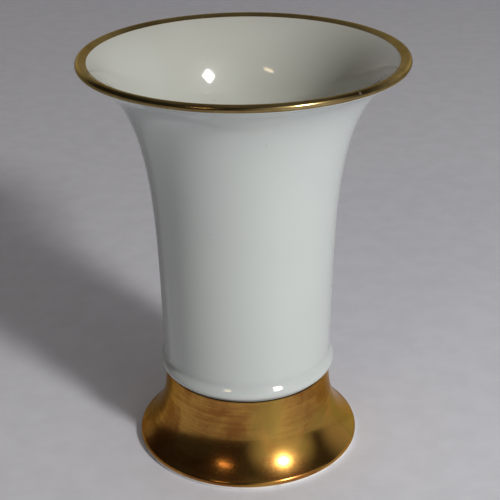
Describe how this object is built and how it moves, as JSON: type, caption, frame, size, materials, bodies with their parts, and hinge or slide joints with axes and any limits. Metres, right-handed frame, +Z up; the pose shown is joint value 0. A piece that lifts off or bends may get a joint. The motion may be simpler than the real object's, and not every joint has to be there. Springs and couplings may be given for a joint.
{
  "type": "porcelain vase",
  "caption": "Trumpet-shaped white porcelain vase with a flared mouth, a gilded lip, a raised bead and a hollow flared foot in gold.",
  "frame": {"origin": "centre of the standing ring, on the plane the vase stands on", "axes": "+Z up along the vase's axis of turning, towards the mouth; X and Y are free, because the vase is round"},
  "size_m": [0.1514, 0.1514, 0.2],
  "materials": {
    "biscuit": "matte",
    "slip": "matte",
    "outer_glaze": "gloss",
    "inner_glaze": "gloss",
    "rim_gold": "polished",
    "foot_gold": "satin"
  },
  "bodies": {
    "root": {"vessel_body": "biscuit", "pedestal_foot": "biscuit", "luting_seam": "slip", "vessel_glaze": "outer_glaze", "well_glaze": "inner_glaze", "foot_glaze": "outer_glaze", "recess_glaze": "outer_glaze", "rim_gilding": "rim_gold", "foot_gilding": "foot_gold"}
  },
  "joints": []
}
